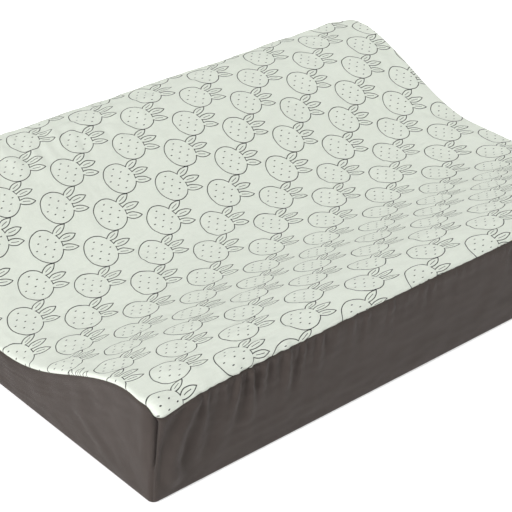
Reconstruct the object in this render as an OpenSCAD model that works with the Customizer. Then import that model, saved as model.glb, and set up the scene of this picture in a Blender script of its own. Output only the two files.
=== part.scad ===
// Contoured changing pad: a foam block with two raised side walls and a shallow trough between them,
// welded into a wipe-clean liner and dressed in a zipped cotton cover with a printed top.
// +X runs from the foot end to the head end, +Y from the front wall to the back wall, +Z is up.
// The origin is the middle of the underside.

/* [Pad] */
// Length from the foot end to the head end
pad_length = 700; // [600:10:800]
// Width across both walls
pad_width = 500; // [440:10:560]
// Height of the walls at their crest
crest_height = 108; // [95:1:125]
// Height of the lying surface at the middle of the trough
trough_height = 44; // [35:1:60]
// Width of the level strip along the middle of the trough
trough_floor = 46; // [20:2:80]
// Radius of the walls' outer top edge
edge_radius = 15; // [12:1:18]

/* [Cover] */
// Thickness of the cover's cotton
cloth = 0.8; // [0.6:0.1:1]
// Height of the seam between the printed top and the plain sides
seam_height = 98; // [96:1:100]
// Room between the cover's sides and the liner
side_ease = 2; // [1.9:0.1:3]
// Room between the printed top and the liner
top_ease = 0.4; // [0.2:0.1:1]

/* [Filling] */
// Thickness of the welded liner
liner_skin = 0.4; // [0.3:0.1:0.5]
// Room between the liner and the foam
liner_ease = 0.2; // [0.1:0.1:0.5]

/* [Zip] */
// Length of the chain
zip_length = 620; // [500:10:640]
// Height of the chain's middle above the underside
zip_height = 27; // [24:1:40]
// Height of the slot that the chain shows in
zip_slot = 10.4; // [10.4:0.2:14]
// Width of one tape
tape_width = 12; // [10:1:14]
// Thickness of the tape
tape_skin = 0.6; // [0.4:0.1:0.6]
// Width of one coil
coil_width = 2.4; // [2:0.1:2.5]
// Height of the coil above its tape
coil_height = 1.7; // [1.5:0.1:1.7]

/* [Label] */
// Width of the care label
label_width = 26; // [20:1:35]
// Length of the care label below its seam
label_drop = 36; // [25:1:45]

/* [Hidden] */

half_length = pad_length / 2;
half_width = pad_width / 2;
slope_run = half_width - edge_radius - trough_floor / 2;
slope_drop = crest_height - trough_height;
seam_angle = asin((seam_height - crest_height + edge_radius) / edge_radius);
slope_steps = 22;
edge_steps = 6;

liner_side = cloth + side_ease;
liner_top = cloth + top_ease;
liner_base = cloth + liner_ease;
foam_side = liner_side + liner_skin + liner_ease;
foam_top = liner_top + liner_skin + liner_ease;
foam_base = liner_base + liner_skin + liner_ease;

// The front of the tapes, which the chain's parts are measured from, and half the gap between the two sides
tape_face = half_width - cloth;
split = 0.5;
stop_length = 3;

// The slider's plates, the flanges and post between them, and the arch that holds the pull
slider_half = 4.6;
slider_length = 11;
slider_gap = 0.15;
slider_x = -zip_length / 2 + stop_length + slider_length / 2 + 1;
plate = 0.9;
plate_top = coil_height + slider_gap;
flange_start = 3.2;
post_half = 0.35;
arch_room = 1.35;
arch_bar = 0.8;
arch_half = 0.9;
arch_reach = 3.6;
arch_foot = 1;

// The pull's crossbar, its two arms and its tab
crossbar_radius = 0.5;
crossbar_height = plate_top + plate + arch_room / 2;
pull_length = 24;
pull_skin = 1;
pull_half = 2.5;
pull_arm = 1;
tab_start = 6.5;
tab_shoulder = 7;
tab_round = 3.4;
tab_waist = 2.6;
tab_hole = 1.3;

// The folded label: its two layers, the air between them, and its place on the back seam
label_skin = 0.4;
label_depth = 0.9;
label_clear = 0.2;
label_tuck = 0.5;
label_x = half_length - 130;

taupe = "#635a56";
metal = "#b9b7b2";

// Points of the wall's rounded outer edge, at depth d inside the surface, from angle a down to 90 degrees.
function edge_points(d, a) = [
    for (i = [0 : edge_steps]) let (t = a + (90 - a) * i / edge_steps)
        [-half_width + edge_radius + (edge_radius - d) * cos(t),
         crest_height - edge_radius + (edge_radius - d) * sin(t)]
];

// Points of the inner slope, a raised cosine from the crest down to the trough's floor, at depth d.
function slope_points(d) = [
    for (i = [1 : slope_steps]) let (
        u = i / slope_steps,
        z = trough_height + slope_drop * (1 + cos(180 * u)) / 2,
        rise = -slope_drop * sin(180 * u) * PI / (2 * slope_run),
        n = [-rise, 1] / norm([rise, 1])
    ) [-half_width + edge_radius + u * slope_run, z] - d * n
];

// The front half of the top surface at depth d, from edge angle a to the middle of the trough.
function front_half(d, a) = concat(edge_points(d, a), slope_points(d));
function mirrored(points) = [for (i = [len(points) - 1 : -1 : 0]) [-points[i].x, points[i].y]];
function reversed(points) = [for (i = [len(points) - 1 : -1 : 0]) points[i]];
function contour(d, a = 180) = concat(front_half(d, a), mirrored(front_half(d, a)));

// Stands a shape drawn in Y and Z upright and runs it along X.
module along_x(from, to) {
    translate([from, 0, 0]) rotate([90, 0, 90]) linear_extrude(to - from) children();
}

// The pad's whole section, sunk by top under the surface, by side at the walls and by base underneath.
module section(top, side, base) {
    intersection() {
        polygon(concat([[-half_width + top, base - 20]], contour(top), [[half_width - top, base - 20]]));
        translate([-half_width + side, base]) square([pad_width - 2 * side, 2 * crest_height]);
    }
}

// Hot-wire cut block of soft foam.
module foam_core() {
    color("#ece4c6") along_x(-half_length + foam_side, half_length - foam_side)
        section(foam_top, foam_side, foam_base);
}

// Wipe-clean liner over the top and sides, open underneath.
module liner_upper() {
    inner = liner_skin + liner_ease / 2;
    color("#f2f4f3") difference() {
        along_x(-half_length + liner_side, half_length - liner_side)
            section(liner_top, liner_side, liner_base + liner_skin);
        along_x(-half_length + liner_side + inner, half_length - liner_side - inner)
            section(liner_top + inner, liner_side + inner, liner_base - 5);
    }
}

// Flat sheet that closes the liner underneath.
module liner_lower() {
    color("#f2f4f3") translate([-half_length + liner_side, -half_width + liner_side, liner_base])
        cube([pad_length - 2 * liner_side, pad_width - 2 * liner_side, liner_skin]);
}

// Printed cotton over both walls and the trough, from seam to seam.
module cover_top() {
    a = 180 - seam_angle;
    color("#dfe7de") along_x(-half_length + cloth, half_length - cloth)
        polygon(concat(contour(0, a), reversed(contour(cloth, a))));
}

// Section of a wall panel from height z0 up to the seam, on the front side.
module wall_section(z0) {
    shoulder = crest_height - edge_radius;
    lip = [for (d = [0, cloth]) [-half_width + edge_radius - (edge_radius - d) * cos(seam_angle),
                                 shoulder + (edge_radius - d) * sin(seam_angle)]];
    polygon([[-half_width, z0], [-half_width, shoulder], lip[0], lip[1], [-half_width + cloth, shoulder],
             [-half_width + cloth, z0]]);
}

module cover_front_side() {
    color(taupe) along_x(-half_length + cloth, half_length - cloth) wall_section(cloth);
}

module cover_back_upper() {
    color(taupe) mirror([0, 1, 0]) along_x(-half_length + cloth, half_length - cloth)
        wall_section(zip_height + zip_slot / 2);
}

module cover_back_lower() {
    color(taupe) translate([-half_length + cloth, half_width - cloth, cloth])
        cube([pad_length - 2 * cloth, cloth, zip_height - zip_slot / 2 - cloth]);
}

// End panel cut to the pad's section.
module end_panel(x) {
    color(taupe) along_x(x, x + cloth) section(0, 0, cloth);
}

module cover_head_end() { end_panel(half_length - cloth); }
module cover_foot_end() { end_panel(-half_length); }

module cover_base() {
    color(taupe) translate([-half_length, -half_width, 0]) cube([pad_length, pad_width, cloth]);
}

// Cloth that closes the zip's slot between the chain's end and the end panel.
module zip_end_panel(side) {
    run = half_length - cloth - zip_length / 2;
    color(taupe) translate([side > 0 ? zip_length / 2 : -half_length + cloth, tape_face,
                            zip_height - zip_slot / 2])
        cube([run, cloth, zip_slot]);
}

module zip_end_panel_head() { zip_end_panel(1); }
module zip_end_panel_foot() { zip_end_panel(-1); }

// One tape, behind the slot; side is 1 above the chain and -1 below it.
module zip_tape(side) {
    color("#5a524e") translate([-zip_length / 2, tape_face - tape_skin,
                                zip_height + (side > 0 ? split : -split - tape_width)])
        cube([zip_length, tape_skin, tape_width]);
}

module zip_tape_upper() { zip_tape(1); }
module zip_tape_lower() { zip_tape(-1); }

// One coil: a bead with a rounded crown, on the front of its tape.
module zip_coil(side) {
    crown = coil_width / 2;
    low = coil_height - crown;
    color("#4e4744") translate([0, tape_face, zip_height]) mirror([0, 0, side > 0 ? 0 : 1])
        along_x(-zip_length / 2 + stop_length, zip_length / 2 - stop_length)
            polygon(concat([[0, split]], [for (t = [0 : 20 : 180])
                [low + crown * sin(t), split + crown - crown * cos(t)]], [[0, split + coil_width]]));
}

module zip_coil_upper() { zip_coil(1); }
module zip_coil_lower() { zip_coil(-1); }

// Metal clamp over the chain, from v0 to v1 across it.
module stop_clamp(x, v0, v1) {
    color(metal) translate([x, tape_face, zip_height + v0]) cube([stop_length, coil_height, v1 - v0]);
}

// The two clamps, one on each tape, that hold the slider on at the closed end.
module zip_top_stops() {
    for (v = [split, -split - coil_width]) stop_clamp(-zip_length / 2, v, v + coil_width);
}

// The single clamp across both coils at the far end.
module zip_bottom_stop() {
    stop_clamp(zip_length / 2 - stop_length, -split - coil_width, split + coil_width);
}

// Shield-shaped outline of the slider's plates, drawn along X and across the chain.
module slider_outline() {
    polygon([[-slider_length / 2, -1.6], [-3, -slider_half], [1, -slider_half], [slider_length / 2, -3.4],
             [slider_length / 2, 3.4], [1, slider_half], [-3, slider_half], [-slider_length / 2, 1.6]]);
}

// A plate of the slider, w0 to w1 in front of the tape.
module slider_plate(w0, w1) {
    translate([0, w1, 0]) rotate([90, 0, 0]) linear_extrude(w1 - w0) slider_outline();
}

// Slider: two plates on a thin post, flanges that hold the coils, and an arch for the pull.
module zip_slider() {
    back = -tape_skin - slider_gap - plate;
    color(metal) translate([slider_x, tape_face, zip_height]) {
        slider_plate(back, back + plate);
        slider_plate(plate_top, plate_top + plate);
        translate([-3.5, back + plate / 2, -post_half]) cube([4, plate_top - back, 2 * post_half]);
        for (side = [0, 1]) mirror([0, 0, side]) translate([-3, 0.25, flange_start])
            cube([4, plate_top, slider_half - flange_start]);
        for (x = [-arch_reach, arch_reach - arch_foot]) translate([x, plate_top + plate / 2, -arch_half])
            cube([arch_foot, plate / 2 + arch_room + arch_bar / 2, 2 * arch_half]);
        translate([-arch_reach, plate_top + plate + arch_room, -arch_half])
            cube([2 * arch_reach, arch_bar, 2 * arch_half]);
    }
}

// Pull: a crossbar under the slider's arch, two arms and a flat tab with a waist.
module zip_pull() {
    tip = tab_round - pull_length;
    color(metal) translate([slider_x, tape_face + crossbar_height, zip_height]) {
        translate([0, 0, -pull_half]) cylinder(h = 2 * pull_half, r = crossbar_radius, $fn = 32);
        for (side = [0, 1]) mirror([0, 0, side])
            translate([-tab_start, -crossbar_radius, pull_half - pull_arm])
                cube([tab_start, 2 * crossbar_radius, pull_arm]);
        translate([0, pull_skin / 2, 0]) rotate([90, 0, 0]) linear_extrude(pull_skin) difference() {
            union() {
                translate([-tab_start - tab_shoulder, -pull_half]) square([tab_shoulder, 2 * pull_half]);
                translate([tip, -tab_waist / 2]) square([-tab_start - tip, tab_waist]);
                translate([tip, 0]) circle(r = tab_round, $fn = 48);
            }
            translate([tip, 0]) circle(r = tab_hole, $fn = 32);
        }
    }
}

// Blank folded label that hangs from the back seam.
module care_label() {
    color("#f4f2ec") translate([label_x, half_width + label_clear, seam_height - label_tuck - label_drop])
        difference() {
            cube([label_width, label_depth, label_drop]);
            translate([-1, label_skin, label_skin])
                cube([label_width + 2, label_depth - 2 * label_skin, label_drop - 2 * label_skin]);
        }
}

foam_core();
liner_upper();
liner_lower();
cover_top();
cover_front_side();
cover_back_upper();
cover_back_lower();
cover_head_end();
cover_foot_end();
cover_base();
zip_end_panel_head();
zip_end_panel_foot();
zip_tape_upper();
zip_tape_lower();
zip_coil_upper();
zip_coil_lower();
zip_top_stops();
zip_bottom_stop();
zip_slider();
zip_pull();
care_label();
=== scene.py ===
"""Contoured changing pad in a printed cotton cover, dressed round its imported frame.

The pad lies on its base at Z = 0. +X runs from the foot end to the head end, and +Y from the front wall
to the back wall, which holds the zip. Every size is in metres unless a name says otherwise.
"""

from __future__ import annotations

import logging
import math
from abc import ABC, abstractmethod
from dataclasses import dataclass, field
from enum import Enum
from functools import cached_property

import bmesh
import bpy
import numpy as np
from mathutils import Matrix, Vector


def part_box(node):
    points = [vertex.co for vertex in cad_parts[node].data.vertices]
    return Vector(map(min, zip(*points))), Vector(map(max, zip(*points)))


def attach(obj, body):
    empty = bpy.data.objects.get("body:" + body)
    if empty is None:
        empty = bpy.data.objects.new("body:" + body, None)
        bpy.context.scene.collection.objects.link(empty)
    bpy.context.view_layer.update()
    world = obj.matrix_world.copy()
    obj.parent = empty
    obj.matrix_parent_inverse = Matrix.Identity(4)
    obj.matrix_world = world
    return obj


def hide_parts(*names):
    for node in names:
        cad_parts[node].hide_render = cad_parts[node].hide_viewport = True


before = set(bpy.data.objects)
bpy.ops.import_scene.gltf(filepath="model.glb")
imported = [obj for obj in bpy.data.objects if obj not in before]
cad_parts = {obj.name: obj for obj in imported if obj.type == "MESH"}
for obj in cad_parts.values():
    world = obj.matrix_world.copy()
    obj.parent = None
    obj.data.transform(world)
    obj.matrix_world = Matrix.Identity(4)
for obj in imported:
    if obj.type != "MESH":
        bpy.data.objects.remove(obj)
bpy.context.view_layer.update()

log = logging.getLogger("changing_pad")

UV_NAME = "cloth"
PRINT_UV_NAME = "print"

Colour = tuple[float, float, float, float]
Pair = tuple[float, float]


# ------------------------------------------------------------------------------------------
# Names of places and bodies
# ------------------------------------------------------------------------------------------


class Body(Enum):
    """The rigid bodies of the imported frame."""

    PAD = "pad"
    SLIDER = "slider"
    PULL = "pull"
    LABEL = "label"


class End(Enum):
    """The pad's two ends, by their side of X."""

    FOOT = -1
    HEAD = 1


class Wall(Enum):
    """The pad's two long walls, by their side of Y."""

    FRONT = -1
    BACK = 1


# ------------------------------------------------------------------------------------------
# Node trees: a short way to place nodes, and the effects that several materials share
# ------------------------------------------------------------------------------------------


class Graph:
    """Places and links the nodes of one tree."""

    def __init__(self, tree: bpy.types.NodeTree) -> None:
        """Keeps the tree that the nodes go in."""
        self.tree = tree

    def node(self, kind: str, inputs: dict[object, object] | None = None,
             **settings: object) -> bpy.types.Node:
        """Adds a node.

        Args:
            kind: The node's type name.
            inputs: What its inputs get, by their names or numbers.
            settings: Properties to set on it.

        Returns:
            The new node.
        """
        made = self.tree.nodes.new(kind)
        for name, value in settings.items():
            setattr(made, name, value)
        for name, value in (inputs or {}).items():
            self.feed(made.inputs[name], value)
        return made

    def feed(self, socket: bpy.types.NodeSocket, value: object) -> None:
        """Links value to the socket if it is a socket too, and otherwise sets it as the socket's own."""
        if isinstance(value, bpy.types.NodeSocket):
            self.tree.links.new(value, socket)
        else:
            socket.default_value = value

    def math(self, operation: str, *values: object) -> bpy.types.NodeSocket:
        """Adds a Math node over values, each a socket or a number, and returns its result."""
        return self.node("ShaderNodeMath", dict(enumerate(values)), operation=operation).outputs[0]

    def vector(self, operation: str, *values: object) -> bpy.types.NodeSocket:
        """Adds a Vector Math node and returns its vector or, for a dot product or a length, its value."""
        made = self.node("ShaderNodeVectorMath", dict(enumerate(values)), operation=operation)
        return made.outputs["Value" if operation in ("DOT_PRODUCT", "LENGTH") else "Vector"]

    def scale(self, value: object, factor: object) -> bpy.types.NodeSocket:
        """Multiplies a vector by a number."""
        inputs = {"Vector": value, "Scale": factor}
        return self.node("ShaderNodeVectorMath", inputs, operation="SCALE").outputs["Vector"]

    def combine(self, x: object, y: object, z: object = 0.0) -> bpy.types.NodeSocket:
        """Joins three values into a vector."""
        return self.node("ShaderNodeCombineXYZ", {0: x, 1: y, 2: z}).outputs[0]

    def separate(self, value: object) -> tuple[bpy.types.NodeSocket, ...]:
        """Splits a vector into its three values."""
        return tuple(self.node("ShaderNodeSeparateXYZ", {0: value}).outputs)

    def ramp(self, value: object, low: object, high: object, start: float = 0.0,
             stop: float = 1.0) -> bpy.types.NodeSocket:
        """Turns value smoothly from start to stop as it goes from low to high."""
        inputs = dict(enumerate((value, low, high, start, stop)))
        return self.node("ShaderNodeMapRange", inputs, interpolation_type="SMOOTHSTEP").outputs[0]

    def noise(self, place: object, scale: object, detail: float = 3.0,
              roughness: float = 0.5) -> bpy.types.NodeSocket:
        """Adds a noise texture over place and returns its value."""
        inputs = {"Vector": place, "Scale": scale, "Detail": detail, "Roughness": roughness}
        return self.node("ShaderNodeTexNoise", inputs).outputs["Fac"]

    def mix(self, factor: object, first: object, second: object) -> bpy.types.NodeSocket:
        """Mixes two colours by factor; of this node's many sockets, 6 and 7 take them and 2 gives them."""
        inputs = {"Factor": factor, 6: first, 7: second}
        return self.node("ShaderNodeMix", inputs, data_type="RGBA").outputs[2]

    def group(self, tree: bpy.types.NodeTree, **values: object) -> bpy.types.Node:
        """Places a node group and sets its inputs."""
        return self.node("ShaderNodeGroup", values, node_tree=tree)


def new_group(name: str, inputs: dict[str, tuple[str, object]], outputs: tuple[str, ...]) -> tuple:
    """Starts a shader node group.

    Args:
        name: The group's name.
        inputs: Socket kind and default value of each input, by name.
        outputs: Names of the outputs, which are all plain values.

    Returns:
        The group's tree, a Graph to fill it with, its input sockets and its output sockets, both by name.
    """
    tree = bpy.data.node_groups.new(name, "ShaderNodeTree")
    for label, (kind, default) in inputs.items():
        socket = tree.interface.new_socket(name=label, in_out="INPUT", socket_type="NodeSocket" + kind)
        if default is not None:
            socket.default_value = default
    for label in outputs:
        tree.interface.new_socket(name=label, in_out="OUTPUT", socket_type="NodeSocketFloat")
    graph = Graph(tree)
    return tree, graph, graph.node("NodeGroupInput").outputs, graph.node("NodeGroupOutput").inputs


def make_weave_group() -> bpy.types.NodeTree:
    """Plain weave: threads that pass over and under each other, with thick and thin places. Its Shade is
    painted shade, lighter on the threads' crowns and darker in the gaps between them, plus the tone of the
    thick and thin places.
    """
    tree, graph, given, out = new_group(
        "plain_weave",
        {"Place": ("Vector", None), "Pitch": ("Float", 0.0005), "Slub": ("Float", 0.5)},
        ("Height", "Shade"),
    )
    warp, weft = (
        graph.math("SINE", graph.math("MULTIPLY", graph.math("DIVIDE", place, given["Pitch"]), math.pi))
        for place in graph.separate(given["Place"])[:2]
    )
    over = graph.ramp(graph.math("MULTIPLY", warp, weft), -0.2, 0.2)
    under = graph.math("SUBTRACT", 1.0, over)
    crown = graph.math("ADD", *(graph.math("MULTIPLY", graph.math("ABSOLUTE", thread), share)
                                for thread, share in ((warp, over), (weft, under))))
    slubs = (graph.noise(graph.vector("MULTIPLY", given["Place"], stretch), 1.0, 2.0)
             for stretch in ((60.0, 1400.0, 1.0), (1400.0, 60.0, 1.0)))
    slub = graph.math("MULTIPLY", graph.math("SUBTRACT", graph.math("ADD", *slubs), 1.0), given["Slub"])
    graph.feed(out["Height"], graph.math("ADD", crown, slub))
    # Shade: painted shade, lighter on each thread's crown and darker in the gaps between threads, plus the
    # tone of the slubs.
    graph.feed(out["Shade"], graph.math("ADD", graph.math("MULTIPLY_ADD", crown, 0.08, 0.94),
                                        graph.math("MULTIPLY", slub, 0.16)))
    return tree


def make_fade_group() -> bpy.types.NodeTree:
    """Broad, small and fine patches where a dyed cloth is a little lighter or darker."""
    tree, graph, given, out = new_group(
        "dye_fade", {"Place": ("Vector", None), "Amount": ("Float", 0.1)}, ("Shade",))
    broad = graph.noise(given["Place"], 9.0, 3.0)
    small = graph.noise(given["Place"], 85.0, 3.0, 0.6)
    fine = graph.noise(given["Place"], 420.0, 2.0, 0.6)
    mixed = graph.math("SUBTRACT", graph.math("ADD", graph.math("ADD", broad, small), fine), 1.5)
    graph.feed(out["Shade"], graph.math("MULTIPLY_ADD", mixed, given["Amount"], 1.0))
    return tree


@dataclass(frozen=True)
class PrintLay:
    """How the printed cloth lies on the pad: skewed by its cutting, and stretched where it was pulled on.

    Each pair gives the shift along and across the pad, in metres, where a bend reaches its full size.
    """

    half_length: float
    half_arc: float
    bow: Pair = (-0.0023, -0.0212)
    twist: Pair = (-0.0061, -0.0067)
    cup: Pair = (0.0088, 0.0068)
    pull: Pair = (-0.0302, -0.0334)

    def at(self, run: np.ndarray, arc: np.ndarray) -> np.ndarray:
        """Place on the print of each place on the pad's top."""
        s, t = run / self.half_length, arc / self.half_arc
        shapes = ((self.bow, s**2), (self.twist, s * t), (self.cup, t**2), (self.pull, t**3 - t))
        shift_along = sum(amount[0] * shape for amount, shape in shapes)
        shift_across = sum(amount[1] * shape for amount, shape in shapes)
        return np.stack([run - shift_along, arc - shift_across], axis=-1)


@dataclass(frozen=True)
class Leaf:
    """A pointed leaf: its length, its width, how far out its middle lies, its offset and its angle."""

    length: float
    width: float
    reach: float
    offset: float
    angle: float

    def draw(self, graph: Graph, up: object, side: object) -> tuple[bpy.types.NodeSocket, ...]:
        """Distance to the leaf's outline, and to the vein along its middle."""
        cosine, sine = math.cos(self.angle), math.sin(self.angle)
        radius = (self.length**2 + self.width**2) / (4 * self.width)
        side = graph.math("SUBTRACT", side, self.offset)
        reach = graph.math("ADD", graph.math("MULTIPLY", up, cosine), graph.math("MULTIPLY", side, sine))
        run = graph.math("SUBTRACT", reach, self.reach)
        off = graph.math("ABSOLUTE", graph.math("SUBTRACT", graph.math("MULTIPLY", side, cosine),
                                                graph.math("MULTIPLY", up, sine)))
        arc = graph.vector("LENGTH", graph.combine(run, graph.math("ADD", off, radius - self.width / 2)))
        vein_run = graph.math("SUBTRACT", graph.math("ABSOLUTE", run), self.length * 0.20)
        return graph.math("SUBTRACT", arc, radius), graph.math("MAXIMUM", off, vein_run)


@dataclass(frozen=True)
class FruitPrint:
    """Line drawing of a seeded fruit under three pointed leaves, repeated in offset rows."""

    step_along: Pair = (0.0857, 0.0029)
    step_across: Pair = (-0.0135, 0.0639)
    first: Pair = (0.0016, -0.0058)
    fruit_half: Pair = (0.0180, 0.0190)
    side_leaf: Leaf = Leaf(0.0205, 0.0076, 0.0240, 0.0034, math.radians(18))
    middle_leaf: Leaf = Leaf(0.0230, 0.0076, 0.0262, 0.0, 0.0)
    seed_gap: Pair = (0.0060, 0.0064)
    seed_half: Pair = (0.0012, 0.0006)
    seed_margin: float = 0.0030
    line: float = 0.00078
    wobble: float = 0.0016

    def make_group(self) -> bpy.types.NodeTree:
        """Builds the print as a node group that turns a place on the cloth into a mask of ink."""
        tree, graph, given, out = new_group(
            "fruit_print", {"Place": ("Vector", None), "Line": ("Float", self.line)}, ("Ink",))
        unsteady = graph.node("ShaderNodeTexNoise",
                              {"Vector": given["Place"], "Scale": 70.0, "Detail": 1.0})
        centred = graph.vector("SUBTRACT", unsteady.outputs["Color"], (0.5,) * 3)
        drawn = graph.vector("MULTIPLY_ADD", centred, (self.wobble,) * 3, given["Place"])
        counts = self._lattice(graph, drawn)
        inks = [self._motif(graph, counts, shift, given["Line"]) for shift in (0.0, 0.5)]
        graph.feed(out["Ink"], graph.math("MAXIMUM", *inks))
        return tree

    def _lattice(self, graph: Graph, place: bpy.types.NodeSocket) -> list[bpy.types.NodeSocket]:
        """Counts repeats along and across the cloth from the first fruit."""
        rows = Matrix((self.step_along, self.step_across)).transposed().inverted()
        moved = graph.vector("SUBTRACT", place, (*self.first, 0.0))
        return [graph.vector("DOT_PRODUCT", moved, (*rows[i], 0.0)) for i in range(2)]

    def _motif(self, graph: Graph, counts: list[bpy.types.NodeSocket], shift: float,
               line: object) -> bpy.types.NodeSocket:
        """Draws the fruit of one set of rows.

        Args:
            graph: The group being filled.
            counts: Repeats along and across the cloth.
            shift: Share of a repeat by which these rows are offset, both ways.
            line: Width of the drawn line.

        Returns:
            The ink's mask.
        """
        along, across = (graph.math("WRAP", graph.math("ADD", count, shift), 0.5, -0.5) for count in counts)
        up, offset = (
            graph.math("ADD", graph.math("MULTIPLY", along, self.step_along[i]),
                       graph.math("MULTIPLY", across, self.step_across[i]))
            for i in range(2)
        )
        side = graph.math("ABSOLUTE", offset)
        fruit = self._fruit(graph, up, side)
        leaf, rib = self.side_leaf.draw(graph, up, side)
        middle, middle_rib = self.middle_leaf.draw(graph, up, side)
        whole = graph.math("MINIMUM", graph.math("MINIMUM", fruit, leaf), middle)
        outline = graph.math("ABSOLUTE", whole)
        half = graph.math("MULTIPLY", line, 0.5)
        drawn = graph.ramp(outline, half, graph.math("MULTIPLY", line, 0.75), 1.0, 0.0)
        thin = graph.math("MULTIPLY", line, 0.3)
        vein = graph.ramp(graph.math("MINIMUM", rib, middle_rib), thin, half, 1.0, 0.0)
        seeds = self._seeds(graph, up, side, fruit)
        return graph.math("MAXIMUM", graph.math("MAXIMUM", drawn, vein), seeds)

    def _fruit(self, graph: Graph, up: object, side: object) -> bpy.types.NodeSocket:
        """Distance to the round outline, negative inside it."""
        mean = sum(self.fruit_half) / 2
        spread = graph.combine(graph.math("DIVIDE", up, self.fruit_half[0]),
                               graph.math("DIVIDE", side, self.fruit_half[1]))
        return graph.math("MULTIPLY", graph.math("SUBTRACT", graph.vector("LENGTH", spread), 1.0), mean)

    def _seeds(self, graph: Graph, up: object, side: object, fruit: object) -> bpy.types.NodeSocket:
        """Mask of the seeds: staggered rows of them, wherever the fruit leaves a margin round them."""
        run, off = (graph.math("ABSOLUTE", graph.math("WRAP", place, gap, -gap))
                    for place, gap in zip((up, side), self.seed_gap))
        staggered = (graph.math("SUBTRACT", place, gap) for place, gap in zip((run, off), self.seed_gap))
        marks = []
        for near, aside in ((run, off), tuple(staggered)):
            spread = graph.combine(graph.math("DIVIDE", near, self.seed_half[0]),
                                   graph.math("DIVIDE", aside, self.seed_half[1]))
            marks.append(graph.ramp(graph.vector("LENGTH", spread), 0.85, 1.15, 1.0, 0.0))
        inside = graph.math("LESS_THAN", fruit, -self.seed_margin)
        return graph.math("MULTIPLY", graph.math("MAXIMUM", *marks), inside)


# ------------------------------------------------------------------------------------------
# Finishes
# ------------------------------------------------------------------------------------------


def new_material(name: str) -> tuple[bpy.types.Material, Graph, bpy.types.Node]:
    """Starts a material and returns it with a Graph and its Principled BSDF."""
    material = bpy.data.materials.new(name)
    material.use_nodes = True
    graph = Graph(material.node_tree)
    return material, graph, material.node_tree.nodes["Principled BSDF"]


def dress_shader(graph: Graph, shader: bpy.types.Node, colour: object, roughness: object,
                 height: object, depth: float) -> None:
    """Feeds a shader its colour, its roughness and a bump.

    Args:
        graph: The material's graph.
        shader: Its Principled BSDF.
        colour: The surface's colour.
        roughness: Its roughness.
        height: Its relief, as a share of depth.
        depth: The bump's depth.
    """
    bump = graph.node("ShaderNodeBump", {"Strength": 1.0, "Distance": depth, "Height": height})
    graph.feed(shader.inputs["Base Color"], colour)
    graph.feed(shader.inputs["Roughness"], roughness)
    graph.feed(shader.inputs["Normal"], bump.outputs["Normal"])


@dataclass(frozen=True)
class Cotton:
    """Woven cotton, plain or printed."""

    name: str
    slot: str
    colour: Colour
    pitch: float = 0.00055
    slub: float = 0.5
    fade: float = 0.10
    depth: float = 0.00012
    sheen: float = 0.12
    ink: Colour | None = None

    def build(self, groups: "Groups") -> bpy.types.Material:
        """Makes the material, on the piece's own UV in metres."""
        material, graph, shader = new_material(self.name)
        place = graph.node("ShaderNodeUVMap", uv_map=UV_NAME).outputs["UV"]
        weave = graph.group(groups.weave, Place=place, Pitch=self.pitch, Slub=self.slub)
        fade = graph.group(groups.fade, Place=place, Amount=self.fade)
        # The weave's painted shade between the threads, times the dye's random fade.
        shade = graph.math("MULTIPLY", weave.outputs["Shade"], fade.outputs["Shade"])
        dyed = graph.scale(self.colour[:3], shade)
        if self.ink:
            printed = graph.node("ShaderNodeUVMap", uv_map=PRINT_UV_NAME).outputs["UV"]
            ink = graph.group(groups.fruit_print, Place=printed)
            spread = graph.math("MULTIPLY", ink.outputs["Ink"],
                                graph.ramp(weave.outputs["Height"], -0.2, 0.5, 0.92, 1.0))
            dyed = graph.mix(spread, dyed, self.ink)
        roughness = graph.ramp(weave.outputs["Height"], 0.0, 1.0, 0.94, 0.82)
        shader.inputs["Specular IOR Level"].default_value = 0.25
        shader.inputs["Sheen Weight"].default_value = self.sheen
        shader.inputs["Sheen Roughness"].default_value = 0.45
        dress_shader(graph, shader, dyed, roughness, weave.outputs["Height"], self.depth)
        return material


@dataclass(frozen=True)
class Patterned(ABC):
    """A finish whose pattern lies over Object coordinates, mixed from its worn tone to its full colour. The
    worn tone is real wear on the nylon and the nickel, and the dark end of painted shade on the thread and
    the foam.
    """

    name: str
    slot: str
    colour: Colour
    worn: Colour = (0.0, 0.0, 0.0, 1.0)
    fade: float = 0.12
    depth: float = 0.0001
    metallic: float = 0.0

    @abstractmethod
    def pattern(self, graph: Graph, place: bpy.types.NodeSocket) -> tuple[object, object, object]:
        """The share of the full colour, the roughness and the relief at each place."""

    def build(self, groups: "Groups") -> bpy.types.Material:
        """Makes the material."""
        material, graph, shader = new_material(self.name)
        place = graph.node("ShaderNodeTexCoord").outputs["Object"]
        share, roughness, height = self.pattern(graph, place)
        fade = graph.group(groups.fade, Place=place, Amount=self.fade)
        tone = graph.math("MULTIPLY", share, fade.outputs["Shade"])
        shader.inputs["Metallic"].default_value = self.metallic
        dress_shader(graph, shader, graph.mix(tone, self.worn, self.colour), roughness, height, self.depth)
        return material


@dataclass(frozen=True)
class Thread(Patterned):
    """Twisted sewing thread."""

    # The dark end of the mix; the twist bands use it as painted shade in the grooves between the plies.
    worn: Colour = (0.01, 0.01, 0.01, 1)
    fade: float = 0.15
    depth: float = 0.00006
    twist_length: float = 0.0006

    def pattern(self, graph: Graph, place: bpy.types.NodeSocket) -> tuple[object, object, object]:
        """Bands of twist, lighter on the plies' crowns and darker in the grooves between them: painted
        shade.
        """
        along, across, height = graph.separate(place)
        total = graph.math("ADD", graph.math("ADD", along, across), height)
        twist = graph.math("SINE", graph.math("MULTIPLY", total, 2 * math.pi / self.twist_length))
        return graph.math("MULTIPLY_ADD", twist, 0.08, 0.76), graph.ramp(twist, -1.0, 1.0, 0.7, 0.5), twist


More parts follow.
